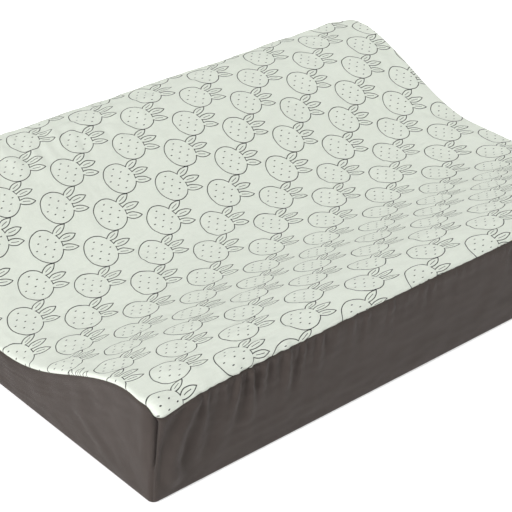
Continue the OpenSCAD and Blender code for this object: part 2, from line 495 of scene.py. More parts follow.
@dataclass(frozen=True)
class Nylon(Patterned):
    """Satin nylon of the zip's coils."""

    worn: Colour = (0.02, 0.018, 0.017, 1)
    fade: float = 0.2
    depth: float = 0.00005

    def pattern(self, graph: Graph, place: bpy.types.NodeSocket) -> tuple[object, object, object]:
        """Lighter rubbed crowns where the slider runs."""
        rub = graph.noise(place, 240.0, 3.0)
        return graph.ramp(rub, 0.35, 0.7, 0.8, 1.0), graph.ramp(rub, 0.3, 0.7, 0.48, 0.30), rub


@dataclass(frozen=True)
class Nickel(Patterned):
    """Nickel-plated metal of the slider, pull and stops."""

    worn: Colour = (0.2, 0.19, 0.18, 1)
    depth: float = 0.00002
    metallic: float = 1.0

    def pattern(self, graph: Graph, place: bpy.types.NodeSocket) -> tuple[object, object, object]:
        """Tumbling marks, small scratches and a duller film in patches."""
        tumbled = graph.noise(place, 1400.0, 4.0, 0.65)
        scratched = graph.noise(graph.vector("MULTIPLY", place, (300.0, 300.0, 4200.0)), 1.0, 2.0)
        roughness = graph.math("ADD", graph.ramp(scratched, 0.4, 0.7, 0.22, 0.38),
                               graph.math("MULTIPLY", tumbled, 0.1))
        return graph.ramp(tumbled, 0.3, 0.7, 0.86, 1.0), roughness, tumbled


@dataclass(frozen=True)
class Foam(Patterned):
    """Cut face of soft open-cell foam."""

    # The dark end of the mix; the cell pattern uses it as painted shade between the cells.
    worn: Colour = (0.3, 0.25, 0.14, 1)
    depth: float = 0.0004

    def pattern(self, graph: Graph, place: bpy.types.NodeSocket) -> tuple[object, object, object]:
        """Open cells, paler near their middles and darker towards their borders: painted shade."""
        cells = graph.node("ShaderNodeTexVoronoi", {"Vector": place, "Scale": 900.0}).outputs["Distance"]
        return graph.ramp(cells, 0.1, 0.6, 1.0, 0.7), graph.ramp(cells, 0.1, 0.6, 0.85, 1.0), cells


@dataclass(frozen=True)
class Film(Patterned):
    """Coated wipe-clean film of the liner."""

    worn: Colour = (0.6, 0.62, 0.62, 1)
    fade: float = 0.06

    def pattern(self, graph: Graph, place: bpy.types.NodeSocket) -> tuple[object, object, object]:
        """Embossed grain and faint creases."""
        grain = graph.noise(place, 1800.0, 2.0)
        crease = graph.noise(place, 45.0, 5.0, 0.6)
        return 0.9, graph.ramp(crease, 0.3, 0.7, 0.34, 0.52), graph.math("MULTIPLY_ADD", crease, 4.0, grain)


class Groups:
    """The node groups that the materials share, each built once."""

    def __init__(self) -> None:
        """Builds the groups."""
        self.weave = make_weave_group()
        self.fade = make_fade_group()
        self.fruit_print = FruitPrint().make_group()


class Finishes:
    """Every material of the pad, built once and handed out by name."""

    PRINTED = Cotton("printed_cotton", "printed_cotton", (0.755, 0.798, 0.714, 1),
                     ink=(0.006, 0.007, 0.007, 1), fade=0.05, sheen=0.05)
    PLAIN = Cotton("taupe_cotton", "plain_cotton", (0.0600, 0.0478, 0.0421, 1),
                   pitch=0.0006, fade=0.22, sheen=0.10)
    TAPE = Cotton("zip_tape_weave", "zip_tape", (0.055, 0.046, 0.042, 1),
                  pitch=0.0008, slub=0.2, fade=0.08, depth=0.0002)
    LABEL = Cotton("satin_label", "label", (0.80, 0.79, 0.75, 1),
                   pitch=0.0003, slub=0.2, fade=0.04, depth=0.00005, sheen=0.3)
    THREAD = Thread("taupe_thread", "plain_cotton", (0.095, 0.080, 0.073, 1))
    COIL = Nylon("nylon_coil", "zip_coil", (0.07, 0.06, 0.055, 1))
    METAL = Nickel("nickel_plate", "zip_metal", (0.68, 0.665, 0.64, 1))
    FOAM = Foam("cut_foam", "foam", (0.86, 0.78, 0.55, 1))
    FILM = Film("liner_film", "liner", (0.86, 0.88, 0.88, 1))

    def __init__(self) -> None:
        """Builds the shared groups and no material yet."""
        self._groups = Groups()
        self._made: dict[str, bpy.types.Material] = {}

    def get(self, finish: object) -> bpy.types.Material:
        """Returns the finish's material, made on first use."""
        if finish.name not in self._made:
            self._made[finish.name] = finish.build(self._groups)
        return self._made[finish.name]

    def dress(self, piece: bpy.types.Object, finish: object) -> None:
        """Puts the finish's material on a piece."""
        piece.data.materials.clear()
        piece.data.materials.append(self.get(finish))


# ------------------------------------------------------------------------------------------
# Mesh helpers
# ------------------------------------------------------------------------------------------


def grid(first: np.ndarray, second: np.ndarray) -> list[np.ndarray]:
    """Crosses two rows of values into two grids, with the first along the rows."""
    return np.meshgrid(first, second, indexing="ij")


def pair(first: np.ndarray, second: np.ndarray) -> np.ndarray:
    """Joins two grids of values into one grid of pairs."""
    return np.stack(np.broadcast_arrays(first, second), axis=-1)


def bell(distance: np.ndarray, reach: float, power: float = 2) -> np.ndarray:
    """1 at a distance of 0, falling smoothly to nearly 0 at about twice the reach."""
    return np.exp(-((distance / reach) ** power))


def free_of_seam(distance: np.ndarray, reach: float) -> np.ndarray:
    """0 at a seam, rising to 1 past its reach, so that wrinkles die out where panels are joined."""
    return 1 - bell(distance, reach)


def spread(length: float, step: float, fine: float, growth: float = 1.35) -> np.ndarray:
    """Places along a span, close together at both ends and a regular step apart in between.

    Args:
        length: The span, centred on 0.
        step: Distance between places in the middle.
        fine: Distance between places at the ends.
        growth: How much each distance grows from the end inwards.

    Returns:
        The places in rising order.
    """
    gaps = []
    gap = fine
    while gap < step:
        gaps.append(gap)
        gap *= growth
    edge = np.cumsum([0.0, *gaps])
    middle_span = length - 2 * edge[-1]
    count = max(2, round(middle_span / step))
    middle = np.linspace(edge[-1], length - edge[-1], count + 1)
    return np.concatenate([edge[:-1], middle, length - edge[:-1][::-1]]) - length / 2


def grid_normals(points: np.ndarray) -> np.ndarray:
    """Unit normals of a grid of points, along the cross product of its two directions."""
    first = np.gradient(points, axis=0)
    second = np.gradient(points, axis=1)
    normal = np.cross(first, second)
    return normal / np.maximum(np.linalg.norm(normal, axis=-1, keepdims=True), 1e-12)


def sample(nodes: np.ndarray, first: np.ndarray, second: np.ndarray) -> np.ndarray:
    """Values between the nodes of an even grid, along smooth curves that pass through the nodes.

    Args:
        nodes: The nodes' values, as rows by columns by 3.
        first: Share of the way along the rows, from 0 to 1.
        second: Share of the way along the columns.

    Returns:
        The value at each place.
    """
    def weights(share: np.ndarray, count: int) -> tuple[np.ndarray, np.ndarray]:
        """The four nearest nodes and how much each counts."""
        place = np.clip(share, 0, 1) * (count - 1)
        cell = np.minimum(place.astype(int), count - 2)
        t = place - cell
        factors = np.stack([-t**3 + 2 * t**2 - t, 3 * t**3 - 5 * t**2 + 2,
                            -3 * t**3 + 4 * t**2 + t, t**3 - t**2]) / 2
        nearest = cell + np.arange(-1, 3).reshape(4, *(1,) * cell.ndim)
        return np.clip(nearest, 0, count - 1), factors

    rows, row_factors = weights(first, nodes.shape[0])
    columns, column_factors = weights(second, nodes.shape[1])
    total = np.zeros((*np.broadcast(first, second).shape, 3))
    for i in range(4):
        for j in range(4):
            total += (row_factors[i] * column_factors[j])[..., None] * nodes[rows[i], columns[j]]
    return total


def link(name: str, data: bpy.types.ID) -> bpy.types.Object:
    """Makes an object of some data and links it into the scene."""
    made = bpy.data.objects.new(name, data)
    bpy.context.scene.collection.objects.link(made)
    return made


def grid_corners(index: np.ndarray, flip: bool) -> np.ndarray:
    """The four corners of each face of a grid of vertex numbers, turned over if flip is set."""
    corners = np.stack([index[:-1, :-1], index[1:, :-1], index[1:, 1:], index[:-1, 1:]], axis=-1)
    return (corners[..., ::-1] if flip else corners).reshape(-1, 4)


def grid_mesh(name: str, points: np.ndarray, uv: np.ndarray, flip: bool = False) -> bpy.types.Object:
    """Makes a smooth mesh object from a grid of points.

    Args:
        name: The object's name.
        points: The grid's places, as rows by columns by 3.
        uv: The place of each point on the flat cloth, in metres.
        flip: Whether the faces are turned over.

    Returns:
        The object, linked into the scene.
    """
    faces = grid_corners(np.arange(points[..., 0].size).reshape(points.shape[:2]), flip)
    mesh = bpy.data.meshes.new(name)
    mesh.from_pydata(points.reshape(-1, 3).tolist(), [], faces.tolist())
    layer = mesh.uv_layers.new(name=UV_NAME)
    layer.data.foreach_set("uv", uv.reshape(-1, 2)[faces.reshape(-1)].astype(np.float32).ravel())
    mesh.polygons.foreach_set("use_smooth", [True] * len(mesh.polygons))
    return link(name, mesh)


def thicken(piece: bpy.types.Object, thickness: float) -> None:
    """Gives a cloth its thickness, inwards from its outer face, and applies it."""
    solidify = piece.modifiers.new("thickness", "SOLIDIFY")
    solidify.thickness = thickness
    solidify.offset = -1.0
    solidify.use_rim = True
    apply_modifiers(piece)


def apply_modifiers(piece: bpy.types.Object) -> None:
    """Replaces a piece's mesh with its evaluated one and removes its modifiers."""
    evaluated = piece.evaluated_get(bpy.context.evaluated_depsgraph_get())
    mesh = bpy.data.meshes.new_from_object(evaluated)
    piece.modifiers.clear()
    piece.data = mesh


def report(piece: bpy.types.Object, body: Body) -> None:
    """Rides a finished piece on its body and logs it."""
    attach(piece, body.value)
    log.info("%s rides on %s, %d faces", piece.name, body.value, len(piece.data.polygons))


@dataclass(frozen=True)
class Ripple:
    """Sum of sine waves in random directions: a smooth, repeatable unevenness of about the stated rise."""

    seed: int
    rise: float
    waves: int
    shortest: float
    longest: float
    heading: float = 0.0
    spread: float = math.pi

    def at(self, along: np.ndarray, across: np.ndarray) -> np.ndarray:
        """Height at places on the cloth."""
        random = np.random.default_rng(self.seed)
        total = np.zeros(np.broadcast(along, across).shape)
        for _ in range(self.waves):
            angle = self.heading + self.spread * random.uniform(-0.5, 0.5)
            length = self.shortest * (self.longest / self.shortest) ** random.uniform()
            phase = random.uniform(0, 2 * math.pi)
            run = along * math.cos(angle) + across * math.sin(angle)
            total = total + np.sin(2 * math.pi * run / length + phase)
        return self.rise * total / math.sqrt(self.waves)


# ------------------------------------------------------------------------------------------
# Shape of the pad and its cover
# ------------------------------------------------------------------------------------------


@dataclass(frozen=True)
class PadShape:
    """The pad's nominal outline, and how the cover's seams draw its edges and corners in."""

    half_length: float
    half_width: float
    crest: float
    trough: float
    seam: float
    base: float
    edge_radius: float = 0.015
    floor_strip: float = 0.046
    end_roll: float = 0.004
    corner_round_low: float = 0.007
    corner_round_high: float = 0.009
    corner_pull: float = 0.0086
    corner_reach: Pair = (0.040, 0.010)
    droop: float = 0.0093
    droop_reach: float = 0.110
    sag_width: float = 0.008
    crest_wear: float = 0.0045
    wear_reach: float = 0.028
    wear_middle: float = 0.010
    wear_width: float = 0.018
    bend_start: float = 0.93
    bend_span: float = 0.07
    edge_points: int = 40
    slope_points: int = 400

    @classmethod
    def from_frame(cls) -> "PadShape":
        """Reads the pad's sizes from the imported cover."""
        base_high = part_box("cover_base")[1]
        top_low, top_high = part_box("cover_top")
        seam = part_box("cover_front_side")[1].z
        return cls(base_high.x, base_high.y, top_high.z, top_low.z + base_high.z, seam, base_high.z)

    @cached_property
    def section(self) -> tuple[np.ndarray, ...]:
        """Arc length from the middle, Y, Z and the outward normal's Y and Z, from front seam to back."""
        start = math.asin((self.seam - self.crest + self.edge_radius) / self.edge_radius)
        turn = np.linspace(math.pi - start, math.pi / 2, self.edge_points)
        edge_y = -self.half_width + self.edge_radius + self.edge_radius * np.cos(turn)
        edge_z = self.crest - self.edge_radius + self.edge_radius * np.sin(turn)
        run = self.half_width - self.edge_radius - self.floor_strip / 2
        u = np.linspace(0, 1, self.slope_points)[1:]
        slope_y = -self.half_width + self.edge_radius + u * run
        slope_z = self.trough + (self.crest - self.trough) * (1 + np.cos(math.pi * u)) / 2
        half_y = np.concatenate([edge_y, slope_y])
        half_z = np.concatenate([edge_z, slope_z])
        y = np.concatenate([half_y, -half_y[::-1]])
        z = np.concatenate([half_z, half_z[::-1]])
        arc = np.concatenate([[0.0], np.cumsum(np.hypot(np.diff(y), np.diff(z)))])
        slope_of_y, slope_of_z = np.gradient(y, arc), np.gradient(z, arc)
        size = np.hypot(slope_of_y, slope_of_z)
        return arc - arc[-1] / 2, y, z, -slope_of_z / size, slope_of_y / size

    @property
    def half_arc(self) -> float:
        """Half the printed cloth's width along the section, seam to middle."""
        return float(self.section[0][-1])

    @property
    def half_run(self) -> float:
        """Half the printed cloth's length, round the ends' edges to their seams."""
        return self.half_length - self.end_roll + self.end_roll * math.pi / 2

    def top(self, run: np.ndarray, arc: np.ndarray) -> np.ndarray:
        """Places on the printed top.

        Args:
            run: Distance along the cloth from the pad's middle, towards the head end.
            arc: Distance across the cloth from the pad's middle, towards the back wall.

        Returns:
            The places, with the cover's shape drawn in.
        """
        return self.drawn_in(self.top_flat(run, arc))

    def top_flat(self, run: np.ndarray, arc: np.ndarray) -> np.ndarray:
        """Places on the printed top before the cover draws them in."""
        table, y, z, normal_y, normal_z = self.section
        turn = np.clip(np.abs(run) - (self.half_length - self.end_roll), 0, None) / self.end_roll
        x = np.sign(run) * (np.minimum(np.abs(run), self.half_length - self.end_roll)
                            + self.end_roll * np.sin(turn))
        sink = self.end_roll * (1 - np.cos(turn))
        return np.stack(np.broadcast_arrays(
            x,
            np.interp(arc, table, y) - sink * np.interp(arc, table, normal_y),
            np.interp(arc, table, z) - sink * np.interp(arc, table, normal_z),
        ), axis=-1)

    def wall(self, side: Wall, run: np.ndarray, height: np.ndarray) -> np.ndarray:
        """Places on a long wall, at a share of its height from the base to the seam."""
        top = self.top_flat(run, np.full_like(run, side.value * self.half_arc))
        return self.drawn_in(self._upright(top, side.value * self.half_width, height))

    def end(self, end: End, arc: np.ndarray, height: np.ndarray) -> np.ndarray:
        """Places on an end, at a share of its height from the base to the seam above."""
        return self.drawn_in(self.end_flat(end, arc, height))

    def end_normals(self, end: End, arc: np.ndarray, height: np.ndarray,
                    near: float = 0.0004) -> np.ndarray:
        """Outward normals of an end, measured over the flat end so that they hold up to its corners."""
        flat = self.end_flat(end, arc, height)
        across, upwards = np.array([0.0, near, 0.0]), np.array([0.0, 0.0, near])
        slope_across = self.drawn_in(flat + across) - self.drawn_in(flat - across)
        slope_up = self.drawn_in(flat + upwards) - self.drawn_in(flat - upwards)
        normal = np.cross(slope_across, slope_up) * end.value
        return normal / np.linalg.norm(normal, axis=-1, keepdims=True)

    def end_flat(self, end: End, arc: np.ndarray, height: np.ndarray) -> np.ndarray:
        """Places on an end before the cover draws them in."""
        top = self.top_flat(np.full_like(arc, end.value * self.half_run), arc)
        edge = float(abs(self.top_flat(np.array(self.half_run), np.array(self.half_arc))[1]))
        return self._upright(top, top[..., 1] * self.half_width / edge, height)

    def _upright(self, top: np.ndarray, foot_y: object, height: np.ndarray) -> np.ndarray:
        """Places between the base and the seam above: upright from foot_y, then bent in to the seam."""
        bend = np.clip((height - self.bend_start) / self.bend_span, 0, 1) ** 2
        y = foot_y + bend * (top[..., 1] - foot_y)
        z = self.base + height * (top[..., 2] - self.base)
        return np.stack([top[..., 0], y, z], axis=-1)

    def tips(self) -> dict[tuple[End, Wall], np.ndarray]:
        """Places of the four top corners, by end and wall."""
        half_run, half_arc = np.array(self.half_run), np.array(self.half_arc)
        return {(end, side): self.top(end.value * half_run, side.value * half_arc)
                for end in End for side in Wall}

    def joined_normals(self, points: np.ndarray, normals: np.ndarray, reach: float = 0.005) -> np.ndarray:
        """Turns the normals near each top corner to one direction, so that the three panels meet there."""
        turned = normals.copy()
        upwards = 0.35
        for (end, side), tip in self.tips().items():
            shared = np.array([end.value, side.value, upwards]) / math.hypot(1.0, 1.0, upwards)
            weight = bell(np.linalg.norm(points - tip, axis=-1), reach)[..., None]
            turned = turned * (1 - weight) + shared * weight
        return turned / np.linalg.norm(turned, axis=-1, keepdims=True)

    def drawn_in(self, points: np.ndarray) -> np.ndarray:
        """Rounds the upright corners, pulls the top corners in and lets the wall seams sag towards them."""
        x, y, z = points[..., 0], points[..., 1], points[..., 2]
        share = np.clip(z / self.seam, 0, 1)
        radius = self.corner_round_low + (self.corner_round_high - self.corner_round_low) * share**2
        a = np.clip(radius - (self.half_length - np.abs(x)), 0, None)
        b = np.clip(radius - (self.half_width - np.abs(y)), 0, None)
        new_a = a * np.sqrt(1 - b**2 / (2 * radius**2))
        new_b = b * np.sqrt(1 - a**2 / (2 * radius**2))
        x = x - np.sign(x) * (a - new_a)
        y = y - np.sign(y) * (b - new_b)
        from_end = self.half_length - np.abs(x)
        from_wall = self.half_width - np.abs(y)
        end_reach, wall_reach = self.corner_reach
        near_corner = np.exp(-((from_end / end_reach) ** 2) - (from_wall / wall_reach) ** 2)
        x = x - np.sign(x) * self.corner_pull * near_corner * share
        sag = self.droop * bell(np.clip(from_end, 0, None), self.droop_reach, 1.2)
        under_crest = np.clip((self.crest - z) / (self.crest - self.seam), 0, 1)
        near_seam = bell(from_wall, self.sag_width) * np.where(z > self.seam, under_crest, share**2)
        near_end = bell(from_end, self.wear_reach) * share**2
        worn = self.crest_wear * bell(from_wall - self.wear_middle, self.wear_width)
        return np.stack([x, y, z - sag * near_seam - near_end * worn], axis=-1)


@dataclass(frozen=True)
class Gather:
    """One small fold of the wall's cloth below its seam."""

    place: float
    height: float
    drop: float
    width: float
    lean: float


@dataclass(frozen=True)
class Gathers:
    """Folds where a wall's longer edge was eased into the shorter edge of the printed top.

    The known ones come first, each as its place and its vigour. Past them the folds are random, with a
    vigour that follows the strong places.
    """

    seed: int
    known: tuple[Pair, ...] = ()
    spacing: Pair = (0.009, 0.019)
    height: float = 0.0034
    drop: Pair = (0.014, 0.048)
    width: Pair = (0.0020, 0.0034)
    widening: float = 0.06
    strong: tuple[Pair, ...] = ((-0.35, 0.4), (-0.25, 1.0), (-0.17, 0.9), (-0.08, 0.55),
                                (0.05, 0.35), (0.20, 0.45), (0.35, 0.7))

    def folds(self, half_length: float) -> list[Gather]:
        """The folds along the whole seam, in order."""
        random = np.random.default_rng(self.seed)
        shortest, longest = self.drop
        made = [
            Gather(place, self.height * vigour, shortest + (longest - shortest) * vigour,
                   random.uniform(*self.width), random.uniform(0.0, 0.25))
            for place, vigour in self.known
        ]
        place = max([-half_length + 0.03, *(place + 0.012 for place, _ in self.known)])
        while place < half_length - 0.02:
            vigour = float(np.interp(place, *zip(*self.strong))) * random.uniform(0.35, 1.0)
            drop = shortest + (longest - shortest) * vigour * random.uniform(0.6, 1.0)
            made.append(Gather(place, self.height * vigour, drop, random.uniform(*self.width),
                               random.uniform(-0.25, 0.25)))
            place += random.uniform(*self.spacing)
        return made

    def at(self, x: np.ndarray, below: np.ndarray, half_length: float) -> np.ndarray:
        """Height of the folds at places along the wall and below its seam."""
        total = np.zeros(np.broadcast(x, below).shape)
        for fold in self.folds(half_length):
            off = (x - fold.place + fold.lean * below) / (fold.width + self.widening * below)
            crown = bell(off, 1) - 0.55 * bell(np.abs(off) - 1.7, 0.9)
            fall = free_of_seam(below, 0.0022) * bell(below, fold.drop, 1.6)
            total = total + fold.height * crown * fall
        return total


@dataclass(frozen=True)
class Drape:
    """One long soft fold that runs down a wall or an end along a bent line."""

    places: tuple[float, ...]
    heights: tuple[float, ...]
    rise: float
    width: float
    fade: float = 0.012

    def at(self, along: np.ndarray, z: np.ndarray) -> np.ndarray:
        """Height of the fold at places along the wall and above the base."""
        off = (along - np.interp(z, self.heights, self.places)) / self.width
        starts = np.clip((z - self.heights[0]) / self.fade, 0, 1)
        ends = np.clip((self.heights[-1] + self.fade - z) / self.fade, 0, 1)
        return self.rise * starts * ends * (bell(off, 1) - 0.5 * bell(np.abs(off) - 1.8, 1))


@dataclass(frozen=True)
class SeamGroove:
    """How far the cloth turns in at its seams: a little along them, more at the open upright corners."""

    depth: float = 0.0012
    width: float = 0.0016
    corner_depth: float = 0.0034
    corner_width: float = 0.0019
    open_above: float = 0.036
    opening: float = 0.006

    def lift(self, from_seam: np.ndarray, from_corner: np.ndarray,
             z: np.ndarray | None = None) -> np.ndarray:
        """Height of the cloth near its seams, 0 away from them and negative in them.

        Args:
            from_seam: Distance to the nearest level seam.
            from_corner: Distance to the nearest upright corner seam, or to its top end.
            z: Height above the floor where the upright seam itself is near, and None on the printed top.

        Returns:
            The height.
        """
        near_corner = bell(from_corner, self.corner_width)
        open_share = 1.0 if z is None else np.clip((z - self.open_above) / self.opening, 0, 1)
        depth = self.depth + open_share * (self.corner_depth - self.depth) * near_corner
        near_seam = bell(from_seam, self.width)
        return -depth * (near_seam if z is None else np.maximum(near_seam, near_corner))


# ------------------------------------------------------------------------------------------
# Sub-assemblies
# ------------------------------------------------------------------------------------------


@dataclass
class Settling:
    """Cloth simulation of the whole sewn cover, which gives each panel the moves that its slack allows."""

    shape: PadShape
    step: float = 0.0055
    frames: int = 20
    pressure: float = 0.08
    wall_slack: float = 0.035
    seam_slack: float = 0.060
    end_slack: float = 0.010
    top_slack: float = 0.009
    cap: float = 0.0035
    label_reach: Pair = (0.036, 0.020)
    held_below: float = 0.004
    zip_held_below: float = 0.046
    moves: dict[object, np.ndarray] = field(default_factory=dict)

    CLOTH = {
        "quality": 7, "mass": 0.1, "air_damping": 2.0, "tension_stiffness": 25.0,
        "compression_stiffness": 25.0, "shear_stiffness": 10.0, "bending_stiffness": 0.2,
        "tension_damping": 8.0, "compression_damping": 8.0, "shear_damping": 8.0, "bending_damping": 1.0,
        "use_pressure": True, "vertex_group_mass": "held", "pin_stiffness": 1.0,
    }

    def run(self) -> None:
        """Builds the sewn shell, lets it settle and keeps how far each of its places moved."""
        actual, slack = self._patches(0.0), self._patches(1.0)
        points, rest = (np.concatenate([patch.reshape(-1, 3) for patch in patches.values()])
                        for patches in (actual, slack))
        _, first, inverse = np.unique(np.round(points, 5), axis=0, return_index=True, return_inverse=True)
        ends = np.cumsum([patch[..., 0].size for patch in actual.values()])
        parts = np.split(inverse.ravel(), ends[:-1])
        index = {key: part.reshape(patch.shape[:2]) for (key, patch), part in zip(actual.items(), parts)}
        faces = [face for key, part in index.items()
                 for face in grid_corners(part, flip=key in (Wall.BACK, End.FOOT)).tolist()
                 if len(set(face)) == 4]
        start = points[first]
        shift = self._simulate(start, rest[first], faces) - start
        size = np.linalg.norm(shift, axis=1, keepdims=True)
        shift *= self.cap * np.tanh(size / self.cap) / np.maximum(size, 1e-9)
        shift *= 1 - self._under_label(start)[:, None]
        log.info("the cover settled by %.2f mm on average and %.2f mm at most", 1000 * size.mean(),
                 1000 * size.max())
        self.moves = {key: shift[part] for key, part in index.items()}

    def _under_label(self, points: np.ndarray) -> np.ndarray:
        """1 where the label lies against the cover, falling off smoothly to 0 round it."""
        low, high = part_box("care_label")
        aside = (points[:, 0] - (low.x + high.x) / 2) / self.label_reach[0]
        inwards = (self.shape.half_width - points[:, 1]) / self.label_reach[1]
        return np.exp(-(aside**4) - inwards**2)

    def at(self, key: object, first: np.ndarray, second: np.ndarray) -> np.ndarray:
        """Moves of places on a panel, each given by its share of the way along both directions."""
        if key not in self.moves:
            return np.zeros((*np.broadcast(first, second).shape, 3))
        return sample(self.moves[key], first, second)

    def _patches(self, slack: float) -> dict[object, np.ndarray]:
        """The panels' places, as they lie or with their slack laid out flat."""
        shape = self.shape
        runs = np.linspace(-1, 1, round(2 * shape.half_run / self.step) + 1) * shape.half_run
        arcs = np.linspace(-1, 1, round(2 * shape.half_arc / self.step) + 1) * shape.half_arc
        heights = np.linspace(0, 1, round(shape.seam / self.step) + 1)
        made = {}
        run, arc = grid(runs, arcs)
        made["top"] = shape.top(run, arc) * (1 + slack * self.top_slack)
        run, height = grid(runs, heights)
        for side in Wall:
            places = shape.wall(side, run, height)
            eased = (self.seam_slack - self.wall_slack) * np.clip(height, 0, 0.999)
            places[..., 0] *= 1 + slack * (self.wall_slack + eased)
            places[..., 2] *= 1 + slack * self.wall_slack
            made[side] = places
        arc, height = grid(arcs, heights)
        for end in End:
            places = shape.end(end, arc, height)
            places[..., 1:] *= 1 + slack * self.end_slack
            made[end] = places
        return made

    def _simulate(self, points: np.ndarray, rest: np.ndarray, faces: list[list[int]]) -> np.ndarray:
        """Runs the cloth from points towards its rest shape and returns where it ends."""
        scene = bpy.context.scene
        mesh = bpy.data.meshes.new("settling_cover")
        mesh.from_pydata(points.tolist(), [], faces)
        shell = link("settling_cover", mesh)
        shell.shape_key_add(name="as_sewn")
        slack_key = shell.shape_key_add(name="laid_out")
        slack_key.data.foreach_set("co", rest.astype(np.float32).ravel())
        slack_key.value = 0.0
        y, z = points.T[1:]
        zip_side = (y > self.shape.half_width - self.held_below) & (z < self.zip_held_below)
        held = np.flatnonzero((z < self.held_below) | zip_side).tolist()
        shell.vertex_groups.new(name="held").add(held, 1.0, "REPLACE")
        cloth = shell.modifiers.new("cloth", "CLOTH")
        for name, value in self.CLOTH.items():
            setattr(cloth.settings, name, value)
        cloth.settings.uniform_pressure_force = self.pressure
        cloth.settings.effector_weights.gravity = 0.0
        cloth.settings.rest_shape_key = slack_key
        cloth.collision_settings.use_collision = False
        cloth.point_cache.frame_start = 1
        cloth.point_cache.frame_end = self.frames
        for frame_number in range(1, self.frames + 1):
            scene.frame_set(frame_number)
        evaluated = shell.evaluated_get(bpy.context.evaluated_depsgraph_get())
        settled = np.empty(len(points) * 3, dtype=np.float32)
        evaluated.data.vertices.foreach_get("co", settled)
        bpy.data.objects.remove(shell, do_unlink=True)
        scene.frame_set(1)
        return settled.reshape(-1, 3).astype(float)


